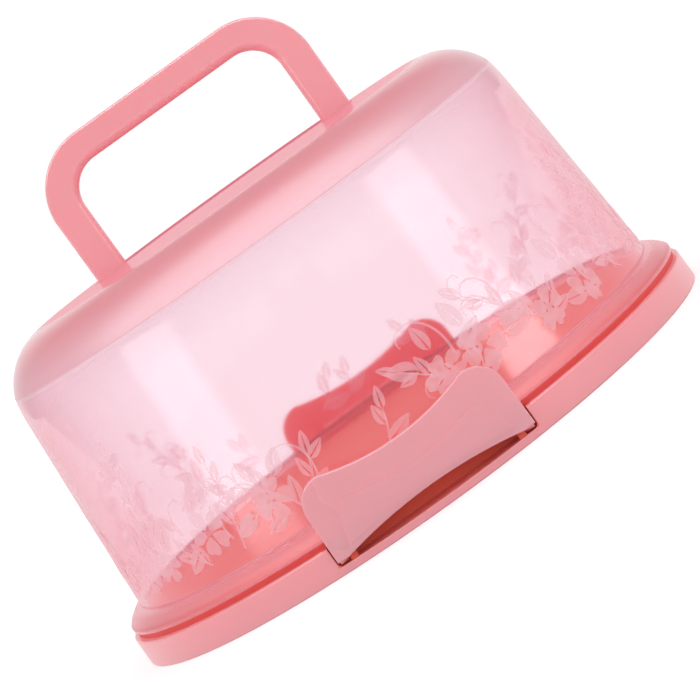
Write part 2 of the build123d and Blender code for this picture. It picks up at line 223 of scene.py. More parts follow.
# Studio, in metres
REAR_WALL = (0.80, 0.94)                # how far back a reflection looks when it turns white
PANEL_FOOT = (0.50, 0.62)               # how far up it looks when it meets the panel
PANEL_FRONT = (0.30, -0.20)             # and how far to the front
FLOOR_HALF = 30.0
FLOOR_FILL = 0.42                       # added to the floor where it is looked at
FLOOR_TONE = (0.70, 0.72)
FLOOR_MOTTLE = 3.0                      # marks per metre
SOFTBOX_AZIMUTH = math.radians(56.3)
SOFTBOX_ELEVATION = math.radians(3.9)
SOFTBOX_DISTANCE = 1.3
SOFTBOX_AIM = 0.1145                    # height that the softboxes point at
SOFTBOX_SIZE = (0.68, 0.434)
SOFTBOX_FADES = (0.22, 0.10)            # shares of its width and height where it fades
SOFTBOX_FOOT = (0.215, 0.157)           # shares of its height between which its foot begins
SOFTBOX_UPPER = 0.36                    # strength above its foot
LEFT_FOOT = (0.05, 0.255)               # shares of its height over which the left one dims
LEFT_DIM = 0.3                          # strength of the left one's foot
SENSOR_WIDTH = 36.0                     # millimetres
VIEW_DEPTH = 100.0


# ---------------------------------------------------------------- settings

def colour(name, description, default):
    """A colour setting."""
    return FloatVectorProperty(
        name=name,
        description=description,
        default=default,
        size=3,
        min=0.0,
        max=1.0,
        subtype="COLOR",
    )


class CARRIER_PG_opaque(bpy.types.PropertyGroup):
    """Finish of the solid pink mouldings, with shade painted in the tray's hollows and on the
    latches' inner faces
    """

    tray_pink: colour("Tray Pink", "Colour of the tray", (0.92, 0.345, 0.375))
    latch_pink: colour("Latch Pink", "Colour of both latches", (0.80, 0.365, 0.405))
    # Painted shade: deeper red for the latches' shaded, backlit inner faces
    latch_shade_red: colour("Latch Red", "Colour of the latches' inner faces", (1.0, 0.32, 0.31))
    handle_pink: colour("Handle Pink", "Colour of the handle", (0.93, 0.395, 0.43))
    # Painted shade: the deck under the lid is painted a deeper red for the weaker, pink-tinted
    # light that reaches it
    deck_shade_red: colour("Deck Red", "Colour of the tray's face inside the lid", (1.0, 0.175, 0.15))
    # Painted shade: deep red for the shadowed ring under the flange
    ring_shade_red: colour("Ring Red", "Colour of the thin ring under the flange", (0.68, 0.085, 0.08))
    # Painted shade: deep red for the shaded recess inside each notch
    notch_shade_red: colour("Notch Red", "Colour inside the latch notches", (1.0, 0.19, 0.13))
    # Painted shade: dark red for the toes low in the shaded recess
    toe_shade_red: colour("Toe Red", "Colour of the latches' hinge toes", (0.60, 0.08, 0.07))
    glow_depth: FloatProperty(
        name="Glow Depth",
        description="How far light spreads inside the plastic",
        default=6.0 * MM,
        min=0.0,
        subtype="DISTANCE",
        unit="LENGTH",
    )
    roughness: FloatProperty(
        name="Roughness",
        description="How soft the plastic's reflections are",
        default=0.30,
        min=0.0,
        max=1.0,
        subtype="FACTOR",
    )
    handle_roughness: FloatProperty(
        name="Handle Roughness",
        description="Roughness of the handle, which is a little glossier",
        default=0.12,
        min=0.0,
        max=1.0,
        subtype="FACTOR",
    )
    grain_size: FloatProperty(
        name="Grain Size",
        description="Width of the fine texture that the mould leaves",
        default=0.9 * MM,
        min=0.1 * MM,
        subtype="DISTANCE",
        unit="LENGTH",
    )


class CARRIER_PG_lid(bpy.types.PropertyGroup):
    """Finish of the clear lid, with a painted highlight at the crease and painted shade on the
    shoulder and the flange's rim
    """

    tint: colour("Tint", "Colour that the lid's plastic lets through", (0.78, 0.11, 0.40))
    satin_low: colour("Satin Low", "Colour of the satin shoulder's foot", (0.86, 0.57, 0.61))
    # Painted highlight: the satin is painted nearly white where the wall begins, to lighten the
    # shade on the upright satin at the crease
    satin_crease_highlight: colour("Satin Edge", "Colour of the satin where the wall begins", (1.0, 0.94, 0.99))
    # Deeper towards the shoulder's top: the lid's own tint, with painted shade for the longer path
    # through the plastic seen at a slant
    satin_top_tint_and_shade: colour("Satin High", "Colour of the satin shoulder's top", (0.88, 0.44, 0.475))
    crown: colour("Crown", "Colour of the satin top", (0.96, 0.40, 0.47))
    flange: colour("Flange", "Colour of the flange's satin face", (1.0, 0.53, 0.54))
    # Painted shade: deep red at the flange's rim, for the shadowed ring under it seen through the
    # plastic
    flange_rim_shade: colour("Flange Rim", "Colour of the flange's outer rim", (0.98, 0.26, 0.25))
    edge_glow: colour("Edge Glow", "Colour of the lid where it turns away", (0.80, 0.33, 0.37))
    tint_depth: FloatProperty(
        name="Tint Strength",
        description="How strongly the plastic is tinted, per metre of plastic",
        default=84.0,
        min=0.0,
    )
    roughness: FloatProperty(
        name="Roughness",
        description="How soft the lid's reflections are",
        default=0.06,
        min=0.0,
        max=1.0,
        subtype="FACTOR",
    )


class CARRIER_PG_print(bpy.types.PropertyGroup):
    """The floral print round the lid's wall"""

    ink: colour("Ink", "Colour of the print", (0.97, 0.80, 0.84))
    cover: FloatProperty(
        name="Cover",
        description="How much of the light the ink stops",
        default=0.45,
        min=0.0,
        max=1.0,
        subtype="FACTOR",
    )
    posy_spacing: FloatProperty(
        name="Posy Spacing",
        description="Angle from one low blossom to the next",
        default=math.radians(13.0),
        min=math.radians(2.0),
        subtype="ANGLE",
        unit="ROTATION",
    )
    vine_spacing: FloatProperty(
        name="Vine Spacing",
        description="Angle from one tall vine to the next",
        default=math.radians(19.0),
        min=math.radians(2.0),
        subtype="ANGLE",
        unit="ROTATION",
    )
    sprig_spacing: FloatProperty(
        name="Sprig Spacing",
        description="Angle from one low sprig to the next",
        default=math.radians(15.0),
        min=math.radians(2.0),
        subtype="ANGLE",
        unit="ROTATION",
    )
    tendril_spacing: FloatProperty(
        name="Tendril Spacing",
        description="Angle from one curling tendril to the next",
        default=math.radians(17.0),
        min=math.radians(2.0),
        subtype="ANGLE",
        unit="ROTATION",
    )
    seed: IntProperty(name="Seed", description="Starts the layout of the sprays", default=11)


class CARRIER_PG_studio(bpy.types.PropertyGroup):
    """Floor, lamps and camera"""

    camera_distance: FloatProperty(
        name="Camera Distance",
        description="Level distance from the carrier's middle to the camera",
        default=1.340,
        subtype="DISTANCE",
        unit="LENGTH",
    )
    camera_height: FloatProperty(
        name="Camera Height",
        description="Height of the camera above the table",
        default=0.1803,
        subtype="DISTANCE",
        unit="LENGTH",
    )
    camera_side: FloatProperty(
        name="Camera Side",
        description="Angle of the camera round the carrier from straight in front",
        default=math.radians(-0.55),
        subtype="ANGLE",
        unit="ROTATION",
    )
    camera_pitch: FloatProperty(
        name="Camera Pitch",
        description="Angle that the camera looks down",
        default=math.radians(5.247),
        subtype="ANGLE",
        unit="ROTATION",
    )
    camera_turn: FloatProperty(
        name="Camera Turn",
        description="Angle that the camera looks right of the carrier's middle",
        default=math.radians(0.175),
        subtype="ANGLE",
        unit="ROTATION",
    )
    camera_roll: FloatProperty(
        name="Camera Roll",
        description="Angle that the camera is rolled",
        default=math.radians(35.711),
        subtype="ANGLE",
        unit="ROTATION",
    )
    lens: FloatProperty(
        name="Lens",
        description="Focal length on a 36 mm sensor, in millimetres",
        default=163.76,
    )
    daylight: FloatProperty(
        name="Daylight",
        description="Brightness of the even white light all round",
        default=0.97,
        min=0.0,
    )
    gloss_light: FloatProperty(
        name="Gloss Light",
        description="Brightness of that light in the carrier's reflections",
        default=0.30,
        min=0.0,
    )
    panel_light: FloatProperty(
        name="Panel Light",
        description="Brightness of the panel high in front, which only reflections show",
        default=6.5,
        min=0.0,
    )
    softbox_power: FloatProperty(
        name="Softbox Power",
        description="Power of each of the two softboxes",
        default=5.6,
        min=0.0,
        unit="POWER",
    )


# ---------------------------------------------------------------- node helpers

class Graph:
    """Short way to write a node tree."""

    def __init__(self, tree):
        self.tree = tree
        self.tree.nodes.clear()

    def add(self, kind, **settings):
        """Add a node; plain names set its properties, numbers and names in 'inputs' its sockets."""
        node = self.tree.nodes.new(kind)
        inputs = settings.pop("inputs", {})
        for name, value in settings.items():
            setattr(node, name, value)
        for name, value in inputs.items():
            if isinstance(value, bpy.types.NodeSocket):
                self.tree.links.new(value, node.inputs[name])
            else:
                node.inputs[name].default_value = value
        return node

    def math(self, operation, first, second=0.0):
        """Add a Math node and return its output."""
        node = self.add("ShaderNodeMath", operation=operation)
        for index, value in enumerate((first, second)):
            if isinstance(value, bpy.types.NodeSocket):
                self.tree.links.new(value, node.inputs[index])
            else:
                node.inputs[index].default_value = value
        return node.outputs[0]

    def mix(self, share, first, second):
        """Blend two shaders."""
        node = self.add("ShaderNodeMixShader", inputs={"Fac": share})
        self.tree.links.new(first, node.inputs[1])
        self.tree.links.new(second, node.inputs[2])
        return node.outputs[0]

    def blend(self, share, first, second):
        """Blend two colours."""
        names = {"Fac": share, "Color1": first, "Color2": second}
        return self.add("ShaderNodeMixRGB", inputs=names).outputs[0]

    def ramp(self, value, start, end, low=0.0, high=1.0, smooth=True):
        """Map a value between two limits onto another pair, with soft ends."""
        kind = "SMOOTHSTEP" if smooth else "LINEAR"
        return self.add(
            "ShaderNodeMapRange",
            interpolation_type=kind,
            inputs={
                "Value": value,
                "From Min": start,
                "From Max": end,
                "To Min": low,
                "To Max": high,
            },
        ).outputs[0]

    def edge(self, value, place, span, low=0.0, high=1.0):
        """Soft edge that starts and ends at two distances from a place."""
        start, end = span
        return self.ramp(value, place + start, place + end, low, high)

    def both_sides(self, tone):
        """Shader that scatters half of the light forward and half of it back."""
        front = self.add("ShaderNodeBsdfDiffuse", inputs={"Color": tone}).outputs[0]
        back = self.add("ShaderNodeBsdfTranslucent", inputs={"Color": tone}).outputs[0]
        return self.mix(0.5, front, back)

    def place(self):
        """Position in the object's own frame, its parts, and its distance from the middle."""
        position = self.add("ShaderNodeTexCoord").outputs["Object"]
        parts = self.add("ShaderNodeSeparateXYZ", inputs={"Vector": position}).outputs
        across = self.math("POWER", parts["X"], 2.0)
        along = self.math("POWER", parts["Y"], 2.0)
        reach = self.math("SQRT", self.math("ADD", across, along))
        return position, parts, reach


WHITE = (1.0, 1.0, 1.0, 1.0)


def rgba(tone):
    """A colour with full opacity."""
    return (*tone[:3], 1.0)


def new_material(name):
    """An empty node material and its graph."""
    material = bpy.data.materials.new(name)
    material.use_nodes = True
    return material, Graph(material.node_tree)


def dress(node_name, material):
    """Give a node of the frame its material; its mesh and shading stay as they came."""
    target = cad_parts[node_name]
    target.data.materials.clear()
    target.data.materials.append(material)


# ---------------------------------------------------------------- materials

def plastic_shader(graph, paint, roughness, specular, settings, normal):
    """The shader of a slightly translucent pink moulding."""
    return graph.add(
        "ShaderNodeBsdfPrincipled",
        subsurface_method="RANDOM_WALK",
        inputs={
            "Base Color": paint,
            "Roughness": roughness,
            "IOR": PINK_IOR,
            "Specular IOR Level": specular,
            "Subsurface Weight": PINK_GLOW,
            "Subsurface Radius": PINK_SPREAD,
            "Subsurface Scale": settings.glow_depth,
            "Normal": normal,
        },
    ).outputs[0]


def moulded_pink(name, tone, soft, settings, zones=()):
    """Slightly translucent polypropylene: soft gloss, fine mould grain, faint flow marks.
    Each zone is a colour of painted shade and a function that gives its share; zones are matt."""
    material, graph = new_material(name)
    place = graph.add("ShaderNodeTexCoord").outputs["Object"]
    flow = graph.add(
        "ShaderNodeTexNoise",
        inputs={"Vector": place, "Scale": FLOW_SCALE, "Detail": 3.0, "Roughness": 0.5},
    ).outputs["Fac"]
    grain = graph.add(
        "ShaderNodeTexNoise",
        inputs={"Vector": place, "Scale": 1.0 / settings.grain_size, "Detail": 2.0},
    ).outputs["Fac"]
    bump = graph.add(
        "ShaderNodeBump",
        inputs={"Height": grain, "Strength": GRAIN_STRENGTH, "Distance": GRAIN_HEIGHT},
    ).outputs[0]
    gloss = graph.ramp(flow, 0.0, 1.0, soft - GLOSS_RANGE, soft + GLOSS_RANGE)
    surface = plastic_shader(graph, shaded(graph, flow, tone), gloss, 0.5, settings, bump)
    for painted_shade_tone, share in zones:
        dull = graph.ramp(flow, 0.0, 1.0, *MATT_ROUGHNESS)
        paint = shaded(graph, flow, painted_shade_tone)
        zone = plastic_shader(graph, paint, dull, MATT_SPECULAR, settings, bump)
        surface = graph.mix(share(graph), surface, zone)
    graph.add("ShaderNodeOutputMaterial", inputs={"Surface": surface})
    return material


def shaded(graph, flow, tone):
    """A colour that varies faintly with the flow marks."""
    return graph.blend(
        flow,
        rgba([channel * (1.0 - TONE_RANGE) for channel in tone]),
        rgba([min(1.0, channel * (1.0 + TONE_RANGE)) for channel in tone]),
    )


def deck_shade_share(graph):
    """1 on the tray's upper face under the lid, where a deeper red is painted as shade for the
    weaker, pink-tinted light there.
    """
    _, parts, reach = graph.place()
    inside = graph.edge(reach, SEAT_EDGE, DECK_EDGE)
    above = graph.edge(parts["Z"], SKIRT_TOP, DECK_BEGINS)
    return graph.math("MULTIPLY", inside, above)


def ring_shade_share(graph):
    """1 on the thin ring that shows under the lid's flange, where its shade is painted as a deep
    red.
    """
    _, parts, reach = graph.place()
    above = graph.edge(parts["Z"], SKIRT_TOP, RING_FOOT)
    below = graph.edge(parts["Z"], SEAT_TOP, RING_HEAD)
    outside = graph.edge(reach, SEAT_EDGE, RING_INSIDE)
    return graph.math("MULTIPLY", graph.math("MULTIPLY", above, below), outside)


def notch_shade_share(graph):
    """1 inside the latch notches, where the recess's shade is painted as a deep red."""
    _, parts, _ = graph.place()
    beside = graph.math("ABSOLUTE", parts["X"])
    across = graph.edge(beside, NOTCH_HALF, NOTCH_SIDE)
    low = graph.edge(parts["Z"], SKIRT_TOP, NOTCH_HEAD)
    over_sill = graph.edge(parts["Z"], NOTCH_SILL, NOTCH_FOOT)
    return graph.math("MULTIPLY", graph.math("MULTIPLY", across, low), over_sill)


def inner_shade_share(graph):
    """1 on the latches' inner faces, where their shade is painted as a deeper red."""
    _, _, reach = graph.place()
    return graph.edge(reach, LATCH_MIDDLE, LATCH_FACE)


def toe_shade_share(graph):
    """1 on the latches' hinge toes, where their shade is painted as a dark red."""
    _, parts, _ = graph.place()
    low = graph.edge(parts["Z"], TOE_TOP, TOE_HEAD)
    return graph.math("MULTIPLY", inner_shade_share(graph), low)


def lid_zones(graph, parts, reach):
    """Shares of the lid's zones: satin, palest satin painted as a highlight at the crease, crown,
    flange, the flange's rim painted with shade, and how far up the shoulder a place lies."""
    height = parts["Z"]
    over = graph.edge(height, CREASE, SATIN_BEGINS)
    mist = graph.edge(height, CREASE, MIST_BEGINS, 0.0, MIST_COVER)
    # Painted highlight at the crease: palest right at it, a little paler for some way above
    crease_highlight = graph.edge(height, CREASE, CREASE_HIGHLIGHT_EDGE)
    pale = graph.edge(height, CREASE, CREASE_HIGHLIGHT_ENDS, 0.0, CREASE_HIGHLIGHT_SHARE)
    return {
        "satin": graph.math("MAXIMUM", over, mist),
        "pale": graph.math("MAXIMUM", crease_highlight, pale),
        "crown": graph.edge(reach, CROWN_EDGE, CROWN_BEGINS),
        "flange": graph.edge(height, WALL_FOOT, FLANGE_BEGINS),
        "rim": graph.edge(reach, LID_HIGH.x, RIM_SHADE_BEGINS),
        "rise": graph.ramp(height, CREASE, CROWN_TOP, smooth=False),
    }


def lid_roughness(graph, position, zones, settings):
    """Roughness of the lid, with a faint haze: low where it is clear, higher where satin."""
    haze = graph.add(
        "ShaderNodeTexNoise",
        inputs={"Vector": position, "Scale": HAZE_SCALE, "Detail": 4.0, "Roughness": 0.6},
    ).outputs["Fac"]
    least, most = HAZE_RANGE
    clear = graph.ramp(haze, 0.0, 1.0, settings.roughness * least, settings.roughness * most)
    frosting = graph.ramp(zones["satin"], MIST_COVER, 1.0)
    frosting = graph.math("MAXIMUM", frosting, zones["flange"])
    return graph.math("ADD", clear, graph.math("MULTIPLY", frosting, SATIN_ROUGHNESS))


def clear_shader(graph, position, roughness, settings):
    """The shader of the lid's clear plastic, with faint ripples."""
    ripple = graph.add(
        "ShaderNodeTexNoise",
        inputs={"Vector": position, "Scale": RIPPLE_SCALE, "Detail": 1.0, "Roughness": 0.4},
    ).outputs["Fac"]
    bump = graph.add(
        "ShaderNodeBump",
        inputs={"Height": ripple, "Strength": RIPPLE_STRENGTH, "Distance": RIPPLE_HEIGHT},
    ).outputs[0]
    return graph.add(
        "ShaderNodeBsdfPrincipled",
        inputs={
            "Base Color": WHITE,
            "Roughness": roughness,
            "IOR": CLEAR_IOR,
            "Transmission Weight": 1.0,
            "Sheen Weight": 1.0,
            "Sheen Roughness": 0.5,
            "Sheen Tint": rgba(settings.edge_glow),
            "Normal": bump,
        },
    ).outputs[0]


def satin_tone(graph, zones, settings):
    """Colour of the satin from the shoulder's foot up to the crown, and on the flange; it has a
    painted highlight at the crease and painted shade up the shoulder and at the flange's rim.
    """
    # Deeper towards the shoulder's top: the lid's own tint and painted shade
    high = graph.ramp(zones["rise"], *SATIN_HIGH_RISE)
    tone = graph.blend(high, rgba(settings.satin_low), rgba(settings.satin_top_tint_and_shade))
    # Painted highlight: paler satin at the crease
    tone = graph.blend(zones["pale"], tone, rgba(settings.satin_crease_highlight))
    tone = graph.blend(zones["crown"], tone, rgba(settings.crown))
    # Painted shade at the flange's rim
    flange = graph.blend(zones["rim"], rgba(settings.flange), rgba(settings.flange_rim_shade))
    return graph.blend(zones["flange"], tone, flange)


def satin_shader(graph, zones, roughness, settings):
    """The shader of the satin: light scattered to both sides under a soft gloss."""
    frost = graph.both_sides(satin_tone(graph, zones, settings))
    polish = graph.math("MULTIPLY", zones["crown"], CROWN_POLISH)
    polished = graph.math("SUBTRACT", roughness, polish)
    gloss = graph.add("ShaderNodeBsdfAnisotropic", inputs={"Color": WHITE, "Roughness": polished})
    shine = graph.add("ShaderNodeFresnel", inputs={"IOR": CLEAR_IOR}).outputs[0]
    weaker = graph.ramp(zones["crown"], 0.0, 1.0, 1.0, CROWN_SHINE)
    return graph.mix(graph.math("MULTIPLY", shine, weaker), frost, gloss.outputs[0])


def satin_cover(graph, zones):
    """How much of the clear plastic the satin hides."""
    cover = graph.ramp(zones["rise"], *SATIN_COVER_RISE, *SATIN_COVER)
    cover = graph.math("MULTIPLY", zones["satin"], cover)
    crown = graph.ramp(zones["crown"], 0.0, 1.0, 1.0, CROWN_COVER)
    cover = graph.math("MULTIPLY", cover, crown)
    return graph.math("ADD", cover, graph.math("MULTIPLY", zones["flange"], FLANGE_COVER))


def clear_pink(settings):
    """Clear tinted styrene with a satin shoulder, crown and flange. The clear part's tint comes
    from the depth of plastic that light crosses, and light passes it without a dark shadow."""
    material, graph = new_material("clear_tinted_plastic")
    position, parts, reach = graph.place()
    zones = lid_zones(graph, parts, reach)
    roughness = lid_roughness(graph, position, zones, settings)
    clear = clear_shader(graph, position, roughness, settings)
    satin = satin_shader(graph, zones, roughness, settings)
    solid = graph.mix(satin_cover(graph, zones), clear, satin)
    see_through = graph.add("ShaderNodeBsdfTransparent").outputs[0]
    ray = graph.add("ShaderNodeLightPath").outputs
    passing = graph.math("MAXIMUM", ray["Is Shadow Ray"], ray["Is Diffuse Ray"])
    surface = graph.mix(passing, solid, see_through)
    tint = graph.add(
        "ShaderNodeVolumeAbsorption",
        inputs={"Color": rgba(settings.tint), "Density": settings.tint_depth},
    ).outputs[0]
    graph.add("ShaderNodeOutputMaterial", inputs={"Surface": surface, "Volume": tint})
    return material


def print_ink(settings):
    """Thin, uneven layer of pale ink that lets part of the light through."""
    material, graph = new_material("printed_ink")
    place = graph.add("ShaderNodeTexCoord").outputs["Object"]
    wear = graph.add(
        "ShaderNodeTexNoise",
        inputs={"Vector": place, "Scale": WEAR_SCALE, "Detail": 3.0},
    ).outputs["Fac"]
    thin, thick = settings.cover - INK_WEAR, settings.cover + INK_WEAR
    cover = graph.ramp(wear, 0.0, 1.0, thin, thick, smooth=False)
    clear = graph.add("ShaderNodeBsdfTransparent").outputs[0]
    surface = graph.mix(cover, clear, graph.both_sides(rgba(settings.ink)))
    graph.add("ShaderNodeOutputMaterial", inputs={"Surface": surface})
    return material


# ---------------------------------------------------------------- print

class WallPrint:
    """Draws flat strips in millimetres round the wall and up it, and wraps them onto it."""

    def __init__(self):
        self.mesh = bmesh.new()
        self.layer = 0

    def on_wall(self, place):
        """The spot on the wall for a distance round it and a height."""
        around, height = place * MM
        share = (height - WALL_FOOT) / (WALL_TOP - WALL_FOOT)
        reach = WALL_RADIUS - share * WALL_TAPER + INK_OFF_WALL + INK_LAYER * self.layer
        angle = around / WALL_RADIUS
        return Vector((reach * math.sin(angle), -reach * math.cos(angle), height))

    def fits(self, points):
        """Whether points stay on the wall."""
        return all(PRINT_LOWEST < point.y < PRINT_HIGHEST for point in points)

    def lift(self):
        """Start a figure a hair above the last, so that figures never share a surface."""
        self.layer = (self.layer + 1) % INK_LAYERS

    def strip(self, left, right):
        """Quads between two lines of points, if they stay on the wall."""
        if not self.fits(left + right):
            return
        pairs = [
            (self.mesh.verts.new(self.on_wall(a)), self.mesh.verts.new(self.on_wall(b)))
            for a, b in zip(left, right)
        ]
        for (a, b), (c, d) in zip(pairs, pairs[1:]):
            self.mesh.faces.new((a, b, d, c))

    def line(self, points, wide, narrow):
        """Ribbon along points, from one width to another."""
        self.lift()
        left = []
        right = []
        last = len(points) - 1
        for index, point in enumerate(points):
            before = points[max(index - 1, 0)]
            after = points[min(index + 1, last)]
            along = (after - before).normalized()
            width = wide + (narrow - wide) * index / last
            side = Vector((-along.y, along.x)) * width / 2
            left.append(point + side)
            right.append(point - side)
        self.strip(left, right)

    def leaf(self, root, direction, length, width, curl=0.0):
        """Pointed leaf: two bellied halves with an open midrib between them."""
        self.lift()
        ahead = pointing(direction)
        side = Vector((-ahead.y, ahead.x))
        for sign in (-1, 1):
            inner = []
            outer = []
            for step in range(LEAF_STEPS + 1):
                share = step / LEAF_STEPS
                spine = root + ahead * length * share + side * curl * length * share ** 2
                half = width / 2 * math.sin(math.pi * share ** LEAF_FULLEST) ** LEAF_ROUNDNESS
                gap = min(MIDRIB * (1 - share), half * MIDRIB_SHARE)
                inner.append(spine + side * sign * gap)
                outer.append(spine + side * sign * half)
            self.strip(inner, outer)

    def petal(self, centre, radius, direction, squash, tilt):
        """Broad petal with a dip in its edge, squashed as the blossom turns away."""
        inner = []
        outer = []
        for step in range(PETAL_STEPS + 1):
            share = 2 * step / PETAL_STEPS - 1
            edge = PETAL_SIDES + (1 - PETAL_SIDES) * math.sqrt(max(0.0, 1 - share ** 2))
            edge -= PETAL_DIP * math.exp(-(share / PETAL_DIP_WIDTH) ** 2)
            lines = ((inner, PETAL_EYE, PETAL_FOOT_SPREAD), (outer, edge, PETAL_SPREAD))
            for points, reach, spread in lines:
                flat = pointing(direction + share * spread) * radius * reach
                across = flat.dot(pointing(tilt))
                points.append(centre + flat - pointing(tilt) * across * (1 - squash))
        self.strip(inner, outer)


def pointing(direction):
    """Unit vector on the sheet."""
    return Vector((math.cos(direction), math.sin(direction)))


def curl_points(start, direction, length, turn, tighten):
    """Points of a tendril that turns faster and faster towards its tip."""
    points = [start.copy()]
    heading = direction
    for step in range(CURL_STEPS):
        share = step / CURL_STEPS
        heading += turn / CURL_STEPS * (1 + tighten * share ** CURL_EASE)
        stride = length / CURL_STEPS * (1 - CURL_SHORTENING * share)
        points.append(points[-1] + pointing(heading) * stride)
    return points


def blossom(sheet, centre, radius, draw):
    """Five notched petals round an open eye, turned a little to one side."""
    sheet.lift()
    turn = draw.uniform(0.0, BLOSSOM_TURN)
    tilt = draw.uniform(0.0, math.pi)
    squash = draw.uniform(*BLOSSOM_SQUASH)
    for petal in range(BLOSSOM_PETALS):
        sheet.petal(centre, radius, turn + petal * 2 * math.pi / BLOSSOM_PETALS, squash, tilt)


def posy(sheet, centre, radius, draw):
    """A blossom with leaves that come out from under it."""
    blossom(sheet, centre, radius, draw)
    leaves = draw.choice((3, 4, 5))
    start = draw.uniform(0.0, math.pi)
    for leaf in range(leaves):
        sway = draw.uniform(-POSY_LEAF_SWAY, POSY_LEAF_SWAY)
        direction = start + leaf * 2 * math.pi / leaves + sway
        length = draw.uniform(*POSY_LEAF)
        width = length * draw.uniform(*POSY_LEAF_WIDTH)
        root = centre + pointing(direction) * radius * POSY_LEAF_ROOT
        sheet.leaf(root, direction, length, width, POSY_LEAF_CURL)


def sprig(sheet, foot, length, direction, bend, size, draw):
    """A bending stem with leaves on alternate sides and one at its tip; returns the stem's
    points, or None where it doesn't fit."""
    heading = direction
    stem = [foot.copy()]
    for _ in range(STEM_STEPS):
        heading += bend / STEM_STEPS
        stem.append(stem[-1] + pointing(heading) * length / STEM_STEPS)
    if not sheet.fits(stem):
        return None
    sheet.line(stem, *STEM_WIDTH)
    side = draw.choice((-1, 1))
    spacing = max(2, round(STEM_STEPS * size * SPRIG_LEAF_GAP / length))
    for index in range(3, STEM_STEPS - 1, spacing):
        ahead = stem[index + 1] - stem[index]
        way = math.atan2(ahead.y, ahead.x) + side * draw.uniform(*SPRIG_LEAF_TURN)
        taper = SPRIG_LEAF_LARGEST - SPRIG_LEAF_SHRINKAGE * index / STEM_STEPS
        leaf = size * taper * draw.uniform(*SPRIG_LEAF_SIZES)
        sheet.leaf(stem[index], way, leaf, leaf * SPRIG_LEAF_WIDTH, -side * SPRIG_LEAF_CURL)
        side = -side
    tip_length, tip_width = SPRIG_TIP_LEAF
    sheet.leaf(stem[-1], heading, size * tip_length, size * tip_width)
    return stem


def vine(sheet, foot, height, lean, draw):
    """A tall sprig with tendrils, and sometimes a blossom."""
    size = draw.uniform(*VINE_LEAF)
    bend = draw.uniform(-VINE_BEND, VINE_BEND)
    stem = sprig(sheet, foot, height, math.pi / 2 + lean, bend, size, draw)
    if stem is None:
        return
    for _ in range(draw.choice((2, 3))):
        index = draw.randrange(5, len(stem) - 4)
        ahead = stem[index] - stem[index - 1]
        turn = draw.choice((-1, 1)) * draw.uniform(*VINE_TENDRIL_TURN)
        start = math.atan2(ahead.y, ahead.x) - math.copysign(VINE_TENDRIL_START, turn)
        length = draw.uniform(*VINE_TENDRIL)
        tendril = curl_points(stem[index], start, length, turn, VINE_TENDRIL_TIGHTENING)
        if sheet.fits(tendril):
            sheet.line(tendril, *VINE_TENDRIL_WIDTH)
    if draw.random() < VINE_BLOSSOM_CHANCE:
        index = draw.randrange(8, len(stem) - 2)
        aside = draw.choice((-1, 1)) * draw.uniform(*VINE_BLOSSOM_ASIDE)
        centre = stem[index] + Vector((aside, VINE_BLOSSOM_ABOVE))
        blossom(sheet, centre, draw.uniform(*VINE_BLOSSOM), draw)


def places(draw, spacing, gap_front, gap_back):
    """Angles round the wall at a mean spacing, off the middle of the front and the back."""
    count = round(2 * math.pi / spacing)
    for index in range(count):
        angle = (index + draw.uniform(-PLACE_SWAY, PLACE_SWAY)) * 2 * math.pi / count
        off_front = abs(math.remainder(angle, 2 * math.pi))
        if off_front > gap_front and math.pi - off_front > gap_back:
            yield angle


def draw_print(settings):
    """A low tangle of blossoms and leaves at both sides, and the vines and tendrils that rise
    out of it."""
    draw = random.Random(settings.seed)
    sheet = WallPrint()
    reach = WALL_RADIUS / MM
    for angle in places(draw, settings.posy_spacing, *POSY_GAPS):
        centre = Vector((angle * reach, draw.uniform(*POSY_HEIGHT)))
        posy(sheet, centre, draw.uniform(*POSY_RADIUS), draw)
    for angle in places(draw, settings.vine_spacing, *VINE_GAPS):
        sideways = math.sin(angle) ** 2
        side = draw.choice((-1, 1))
        height = draw.uniform(*VINE_HEIGHT)
        height += VINE_EXTRA * sideways * draw.uniform(*VINE_EXTRA_SHARE)
        least, most = VINE_LEAN
        lean = side * draw.uniform(least, most - VINE_LEAN_LESS * sideways)
        vine(sheet, Vector((angle * reach, draw.uniform(*VINE_FOOT))), height, lean, draw)
    for angle in places(draw, settings.sprig_spacing, *SPRIG_GAPS):
        foot = Vector((angle * reach, draw.uniform(*SPRIG_FOOT)))
        lean = draw.choice((-1, 1)) * draw.uniform(*SPRIG_LEAN)
        length = draw.uniform(*SPRIG_LENGTH)
        sprig(sheet, foot, length, math.pi / 2 + lean, -lean * 0.5, SPRIG_LEAF, draw)
    for angle in places(draw, settings.tendril_spacing, *TENDRIL_GAPS):
        foot = Vector((angle * reach, draw.uniform(*TENDRIL_FOOT)))
        side = draw.choice((-1, 1))
        lean = side * draw.uniform(*TENDRIL_LEAN)
        length = draw.uniform(*TENDRIL_LENGTH)
        turn = side * draw.uniform(*TENDRIL_TURN)
        tendril = curl_points(foot, math.pi / 2 - lean, length, turn, TENDRIL_TIGHTENING)
        if sheet.fits(tendril):
            sheet.line(tendril, *TENDRIL_WIDTH)
    mesh = bpy.data.meshes.new("floral_print")
    sheet.mesh.to_mesh(mesh)
    sheet.mesh.free()
    return mesh


# ---------------------------------------------------------------- operators

